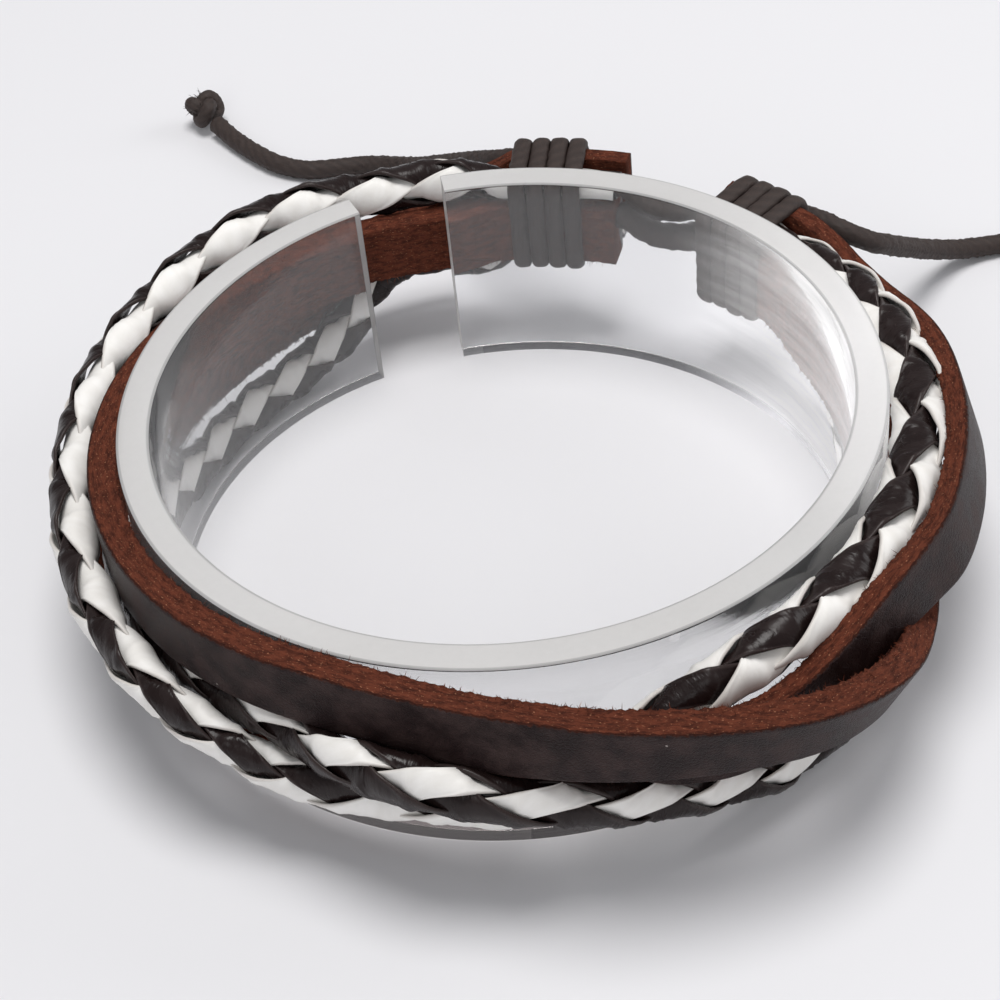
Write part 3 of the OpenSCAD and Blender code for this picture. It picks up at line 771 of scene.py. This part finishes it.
lowerBraid = {
    "node": "lower_braid", "white": "lowerBraidWhiteLaces", "black": "lowerBraidBlackLaces", "seed": 83,
    "route": np.array([
        [67.5, 36.1, 9.7, 2.6, 2.7], [83, 36.1, 9.7, 2.6, 2.7], [84.5, 36.1, 9.35, 2.6, 2.7],
        [86.5, 35.7, 7.4, 2.5, 2.6], [89, 35.3, 6.7, 2.5, 2.6], [92, 35.2, 6.9, 2.6, 3],
        [97, 35.2, 7.4, 2.8, 3.6], [102, 35.1, 7.5, 3, 4], [106, 34.9, 7, 3.1, 4.1],
        [110, 34.4, 5.8, 3.2, 4.1], [116, 33.6, 4, 3.4, 4.1], [126, 33.1, 2.5, 3.5, 4.1],
        [136, 33, 2.3, 3.5, 4.1], [150, 33, 2.3, 3.4, 4.1], [160, 32.9, 3.3, 3.2, 4.1],
        [170, 32.7, 5.2, 3, 4.1], [180, 32.6, 7.4, 2.9, 4.1], [190, 32.6, 9.2, 2.8, 4.1],
        [200, 32.6, 10, 2.8, 4.1], [212, 32.6, 10.5, 2.8, 4.1], [222, 32.6, 10.9, 2.7, 4],
        [230, 32.7, 11.3, 2.6, 3.8],
        [238, 33.3, 11.7, 2.8, 3.6], [246, 34.8, 12.2, 3.1, 4.7], [254, 35.8, 12.4, 3.4, 4.9],
        [262, 36.3, 11.7, 3.4, 4.6], [270, 36.4, 10.6, 3.3, 4.2], [276, 36.2, 9.5, 3.2, 4.2],
        [282, 35.6, 8, 3.3, 4.2], [292, 34.5, 5.5, 3.5, 4.2], [302, 34, 3.4, 3.5, 4.2],
        [312, 33.4, 2.5, 3.5, 4.1], [330, 33, 2.3, 3.5, 4.1], [366, 33, 2.3, 3.5, 4.1],
        [376, 34.2, 3.2, 3.3, 4.1], [385, 35.6, 5.4, 3, 3.7], [393, 36.1, 7.8, 2.7, 3.1],
        [398, 36.1, 8.9, 2.6, 2.7], [402, 36.1, 8.9, 2.6, 2.7], [412, 36.1, 8.9, 2.6, 2.7]]),
    "weave": np.array([
        [0, -14.8, 140], [59.6, -6.7, 130], [89.6, -2.65, 100], [109.2, 0, 62], [116.5, 1, 54],
        [124.1, 2, 46], [131.5, 3, 36], [138.8, 4, 30], [164.6, 7.5, 20], [216, 14.4, 0]]),
    "favour": ([60, 90], [0.7, 1])}
laceLook = {
    "thick": 0.4, "bead": 0.05, "middle": 1.42, "lift": 0.42, "crisp": 1.2, "tuck": 0.1, "square": 0.06,
    "swing": 0.62, "snap": 0.8, "lag": 36.5, "reach": 118.5, "favour": 17.5,  # the weave's steps, degrees
    "width": 3.6, "rough": 0.03, "roughSize": 2.4, "step": 0.2,  # width is the lace's on its own map
    "outer": 2.1, "core": 1.05, "coreStep": 0.6, "coreSides": 12,
}


def laceProfile():
    # closed section of a flat lace: across from -1 to 1, and the height above its middle, with a thin bead
    # beside each edge; the second result says how near the edge a point is
    half = laceLook["thick"] / 2
    steps = np.array([0, 0.35, 0.6, 0.76, 0.82, 0.88, 0.93, 0.97, 1])
    across = np.concatenate([-steps[:0:-1], steps])
    rounding = (1 - np.abs(across) ** 12) ** (1 / 3)
    bead = laceLook["bead"] * (np.exp(-((np.abs(across) - 0.91) / 0.035) ** 2)
                               - np.exp(-((np.abs(across) - 0.8) / 0.04) ** 2))
    topSide = np.stack([across, (half + bead) * rounding], -1)
    lowSide = np.stack([across, -half * rounding], -1)[1:-1][::-2]
    profile = np.concatenate([topSide, lowSide])
    return profile, np.abs(profile[:, 0])


def braidPath(braid):
    # the braid's middle line with its outward and upward directions square to it
    route, weave = braid["route"], braid["weave"]
    angle = np.linspace(route[0, 0], route[-1, 0], 5000)
    line = polar(angle, routeValue(route, 1, angle), routeValue(route, 2, angle))
    ahead = unit(np.gradient(line, axis=0))
    radial = polar(angle, 1.0, 0.0)
    out = unit(radial - ahead * (radial * ahead).sum(-1, keepdims=True))
    along = lengthAlong(line)
    return {"along": along, "line": line, "out": out, "up": np.cross(out, ahead),
            "halfOut": routeValue(route, 3, angle) / 2, "halfUp": routeValue(route, 4, angle) / 2,
            "turns": np.pi * routeValue(weave, 1, along), "facing": np.radians(routeValue(weave, 2, along)),
            "favour": np.interp(along, *braid["favour"])}


def alongPath(path, key, where):
    # a number or a direction of the path at lengths along it
    values = path[key]
    if values.ndim == 1:
        return np.interp(where, path["along"], values)
    return np.stack([np.interp(where, path["along"], values[:, k]) for k in range(values.shape[1])], -1)


def besideLine(path, where, angle, radius):
    # a place beside the middle line: out by the cosine and up by the sine of the angle, times a radius that
    # is 1 at the section's half thickness and half height
    out = (radius * np.cos(angle) * alongPath(path, "halfOut", where))[..., None]
    up = (radius * np.sin(angle) * alongPath(path, "halfUp", where))[..., None]
    line = alongPath(path, "line", where)
    return line + alongPath(path, "out", where) * out + alongPath(path, "up", where) * up


def stepped(turn):
    # a turn that advances in steps: at an even slow pace, but for a quick jump at every half turn
    snap = laceLook["snap"]
    return turn + laceLook["swing"] * np.arctan2(snap * np.sin(2 * turn), 1 - snap * np.cos(2 * turn))


def laceBand(turns, wider):
    # middle and half width, as angles, of a lace that lies on top at turn 0: both edges advance in steps, the
    # leading one early and the trailing one late, so that the visible part is a slanting diamond
    lag, reach = math.radians(laceLook["lag"]), np.radians(laceLook["reach"] + laceLook["favour"] * wider)
    lead, trail = stepped(turns - lag) + reach, stepped(turns + lag) - reach
    return (lead + trail) / 2, (lead - trail) / 2


def lacePoints(path, black, strand, seed):
    # a lace winds round the braid's middle line, white one way and black the other, a quarter turn apart; its
    # height follows how far round it is from the lace that it crosses: up where it is on top, down below
    look = laceLook
    profile, nearEdge = laceProfile()
    where = np.linspace(0, path["along"][-1], int(path["along"][-1] / look["step"]))[:, None]
    turns, favour = alongPath(path, "turns", where), alongPath(path, "favour", where)
    quarter = np.pi / 2
    whiteMiddle, whiteHalf = laceBand(turns, -favour)
    blackMiddle, blackHalf = laceBand(turns - quarter, favour)
    blackMiddle = quarter - blackMiddle
    middle, half = (blackMiddle, blackHalf) if black else (whiteMiddle, whiteHalf)
    across = profile[None, :, 0] * half
    apart = middle + across - (whiteMiddle if black else blackMiddle + np.pi)
    height = look["lift"] * np.tanh(look["crisp"] * np.cos(apart)) / math.tanh(look["crisp"])
    height = height + look["tuck"] * profile[None, :, 0]
    offset = np.broadcast_to(profile[None, :, 0] * look["width"] / 2, across.shape)
    uneven = look["rough"] * wobble(together(where, offset), look["roughSize"], seed)
    square = 1 + look["square"] * (1 - np.cos(2 * across))
    radius = (look["middle"] + height) * square + profile[None, :, 1] + uneven
    facing = alongPath(path, "facing", where) + middle + across + np.pi * strand
    points = besideLine(path, where, facing, radius / look["outer"])
    uv = together(where + 7.3 * strand, offset + (profile[None, :, 1] < 0) * 9).reshape(-1, 2)
    return points, uv, np.broadcast_to(nearEdge, points.shape[:2]).ravel()


def corePoints(path):
    # a dark cord inside the braid, so that no light passes between the laces
    look = laceLook
    where = np.linspace(0, path["along"][-1], int(path["along"][-1] / look["coreStep"]))[:, None]
    turn = np.linspace(0, 2 * np.pi, look["coreSides"], endpoint=False)[None, :]
    return besideLine(path, where, turn, look["core"] / look["outer"])


def makeBraid(braid):
    # two white laces are one piece, two black ones with the core another
    path = braidPath(braid)
    for black in (False, True):
        parts, maps, edges = [], [], []
        for strand in range(2):
            points, uv, edge = lacePoints(path, black, strand, braid["seed"] + strand + 2 * black)
            parts.append(tubeMesh(points))
            maps.append(uv)
            edges.append(edge)
        if black:
            parts.append(tubeMesh(corePoints(path)))
            maps.append(np.zeros((len(parts[-1][0]), 2)))
            edges.append(np.zeros(len(parts[-1][0])))
        name, lace = (braid["black"], blackLace) if black else (braid["white"], whiteLace)
        newPiece(name, parts, [lace], (braid["node"],), maps, {"laceEdge": edges})


makeBraid(longBraid)
makeBraid(lowerBraid)
print("braids ready")


# windings: turns of flat cord round the four strands; angle of the middle and height of the foot
windings = {
    "leftWinding": {"node": "left_binding", "angle": 79, "foot": 7.5, "seed": 101},
    "rightWinding": {"node": "right_binding", "angle": 45.8, "foot": 6.7, "seed": 113},
}
windingLook = {"turns": 4, "pitch": 1.7, "thick": 1.0, "inner": 31.2, "out": 7.5, "tall": 10.2, "corner": 1.7,
               "step": 0.2, "stepOver": 0.14, "proud": (-0.12, 0.05), "ripple": 0.08, "sides": 22}


def windingBox():
    # a rounded box as a closed loop of points: four quarter circles joined by straight sides
    look = windingLook
    halfOut, halfTall = (look["out"] - look["thick"]) / 2, (look["tall"] - look["thick"]) / 2
    corner = look["corner"] - look["thick"] / 2
    arcs = []
    for k, (sx, sz) in enumerate(((1, -1), (1, 1), (-1, 1), (-1, -1))):
        bend = np.radians(np.linspace(90 * k - 90, 90 * k, 12))
        middle = np.array([sx * (halfOut - corner), sz * (halfTall - corner)])
        arcs.append(middle + corner * np.stack([np.cos(bend), np.sin(bend)], -1))
    return np.concatenate(arcs + [arcs[0][:1]])


def windingPoints(winding):
    # a flat cord laid round the box, each turn beside the last, with the step over at the foot
    look, seed = windingLook, winding["seed"]
    box = windingBox()
    boxLength = lengthAlong(box)
    perimeter = boxLength[-1]
    along = np.linspace(0, look["turns"] * perimeter, int(look["turns"] * perimeter / look["step"]))
    inTurn, number = along % perimeter, np.floor(along / perimeter)
    flat = np.stack([np.interp(inTurn, boxLength, box[:, k]) for k in range(2)], -1)
    share = np.clip(inTurn / (look["stepOver"] * perimeter), 0, 1)
    step = np.where(number > 0, number - 1 + share ** 2 * (3 - 2 * share), 0)
    sideways = (step - (look["turns"] - 1) / 2) * look["pitch"]
    draw = np.random.default_rng(seed)
    proud = draw.uniform(*look["proud"], look["turns"] + 1)[np.minimum(number, look["turns"]).astype(int)]
    ahead = unit(np.gradient(flat, axis=0))
    square = np.stack([ahead[:, 1], -ahead[:, 0]], -1)
    flat = flat + square * (proud + look["ripple"] * np.sin(along * 0.5 + seed))[:, None]
    radial, tangent = polar(winding["angle"], 1.0, 0.0), polar(winding["angle"] + 90, 1.0, 0.0)
    centre = radial * (look["inner"] + look["out"] / 2) + [0, 0, winding["foot"] + look["tall"] / 2]
    line = centre + flat[:, :1] * radial + flat[:, 1:] * [0, 0, 1.0] + sideways[:, None] * tangent
    normal = square[:, :1] * radial + square[:, 1:] * [0, 0, 1.0]
    turn = np.linspace(0, 2 * np.pi, look["sides"], endpoint=False)[None, :]
    across = np.sign(np.cos(turn)) * np.abs(np.cos(turn)) ** 0.75 * look["pitch"] / 2 * 0.97
    high = np.sin(turn) * look["thick"] / 2
    place = together(along[:, None], across, high)
    swell = 1 + 0.05 * wobble(place, 1.1, seed + 1) + 0.03 * wobble(place, 0.45, seed + 2)
    across, high = (across * swell)[..., None], (high * swell)[..., None]
    points = line[:, None] + across * tangent + high * normal[:, None]
    return points, together(along[:, None], turn * 0.45).reshape(-1, 2)


# closure cords: the two cords between the windings; columns angle, radius, height
closureCords = {
    "upperClosureCord": {"node": "upper_closure_cord", "seed": 131, "route": np.array([
        [52.3, 33.7, 14.6], [54, 33.6, 14.6], [57, 32.9, 14.8], [60, 32.6, 15], [63, 32.9, 15.2],
        [65.5, 33.6, 15.4], [67.2, 33.7, 15.4]])},
    "lowerClosureCord": {"node": "lower_closure_cord", "seed": 137, "route": np.array([
        [52.3, 33.5, 11.8], [54, 33.4, 11.8], [57, 32.8, 12], [60, 32.5, 12.2], [63, 32.8, 12.4],
        [65.5, 33.4, 12.5], [67.2, 33.5, 12.5]])},
}


def makeBackCords():
    # the windings, then cord along a smooth curve through each table's places
    for name, winding in windings.items():
        points, uv = windingPoints(winding)
        newPiece(name, [tubeMesh(points)], [waxedCord], (winding["node"],), [uv])
    for name, cord in closureCords.items():
        path = smoothPath(polar(*cord["route"].T), cordLook["step"])
        makeCord(name, cord["node"], path, cord["seed"])


makeBackCords()
print("cords ready")


# display ring: clear wall with a satin sawn top and ends
ring = {"radius": 31, "wall": 2.7, "height": 19, "gapFrom": 96, "gapAngle": 16, "edge": 0.22, "sharp": 35,
        "node": "display_ring"}


def makeRing():
    # a box section with small rounded edges carried round, closed at the opening by two end faces
    outer, inner, edge, height = ring["radius"], ring["radius"] - ring["wall"], ring["edge"], ring["height"]
    bend = np.radians(np.linspace(0, 90, 4))
    section = []
    for radius, level, start in ((outer, 0, -90), (outer, height, 0), (inner, height, 90), (inner, 0, 180)):
        middle = [radius - math.copysign(edge, radius - (outer + inner) / 2),
                  level - math.copysign(edge, level - height / 2)]
        turn = bend + math.radians(start)
        section.append(middle + edge * np.stack([np.cos(turn), np.sin(turn)], -1))
    section = np.concatenate(section)
    angle = np.linspace(ring["gapFrom"] + ring["gapAngle"], ring["gapFrom"] + 360, 361)
    points = polar(angle[:, None], section[None, :, 0], section[None, :, 1])
    mesh = newPiece("clearRing", [tubeMesh(points)], [clearPlastic, satinPlastic],
                    (ring["node"],)).data
    count = len(mesh.polygons)
    normals, sides = np.empty(count * 3, np.float32), np.empty(count, np.int32)
    mesh.polygons.foreach_get("normal", normals)
    mesh.polygons.foreach_get("loop_total", sides)
    satin = (normals.reshape(-1, 3)[:, 2] > 0.5) | (sides > 4)  # faces that point up, and the two ends
    mesh.polygons.foreach_set("material_index", satin.astype(np.int32))
    mesh.set_sharp_from_angle(angle=math.radians(ring["sharp"]))


makeRing()
print("ring ready")


# studio: pale floor, soft lights; metres and watts
studio = {
    "floorSize": 1.6, "world": (0.96, 0.97, 1.0, 1), "worldStrength": 0.31, "aim": (0, 0, 0.01),
    "floor": {"Base Color": (0.82, 0.82, 0.845, 1), "Roughness": 0.75, "Specular IOR Level": 0.2},
    "lights": {
        "topSoftbox": {"place": (0.015, 0.05, 0.75), "size": 0.4, "power": 3.75, "colour": (1, 0.985, 0.97)},
        "frontSoftbox": {"place": (-0.12, -0.5, 0.36), "size": 0.35, "power": 0.55,
                         "colour": (1, 0.99, 0.98)},
        "sideSoftbox": {"place": (0.45, 0.1, 0.22), "size": 0.3, "power": 0.5, "colour": (1, 1, 1)},
    },
}


def makeFloor():
    # one plain square under the bracelet
    half = studio["floorSize"] / 2
    mesh = bpy.data.meshes.new("floor")
    corners = [(-half, -half, 0), (half, -half, 0), (half, half, 0), (-half, half, 0)]
    mesh.from_pydata(corners, [], [(0, 1, 2, 3)])
    mesh.materials.append(newMaterial("paleFloor", studio["floor"])[0])
    floor = bpy.data.objects.new("floor", mesh)
    scene.collection.objects.link(floor)


def makeLights():
    # round area lights, each turned towards the bracelet, and an even sky
    for name, setup in studio["lights"].items():
        data = bpy.data.lights.new(name, "AREA")
        data.shape, data.size = "DISK", setup["size"]
        data.energy, data.color = setup["power"], setup["colour"]
        light = bpy.data.objects.new(name, data)
        light.location = setup["place"]
        way = np.array(studio["aim"]) - np.array(setup["place"])
        tilt, turn = math.acos(-way[2] / np.linalg.norm(way)), math.atan2(way[1], way[0]) - math.pi / 2
        light.rotation_euler = (tilt, 0, turn)
        scene.collection.objects.link(light)
    world = bpy.data.worlds.new("studio")
    world.use_nodes = True
    background = world.node_tree.nodes["Background"]
    background.inputs[0].default_value = studio["world"]
    background.inputs[1].default_value = studio["worldStrength"]
    scene.world = world
    scene.view_settings.view_transform = "Standard"
    scene.view_settings.look = "None"


makeFloor()
makeLights()
print("studio ready")
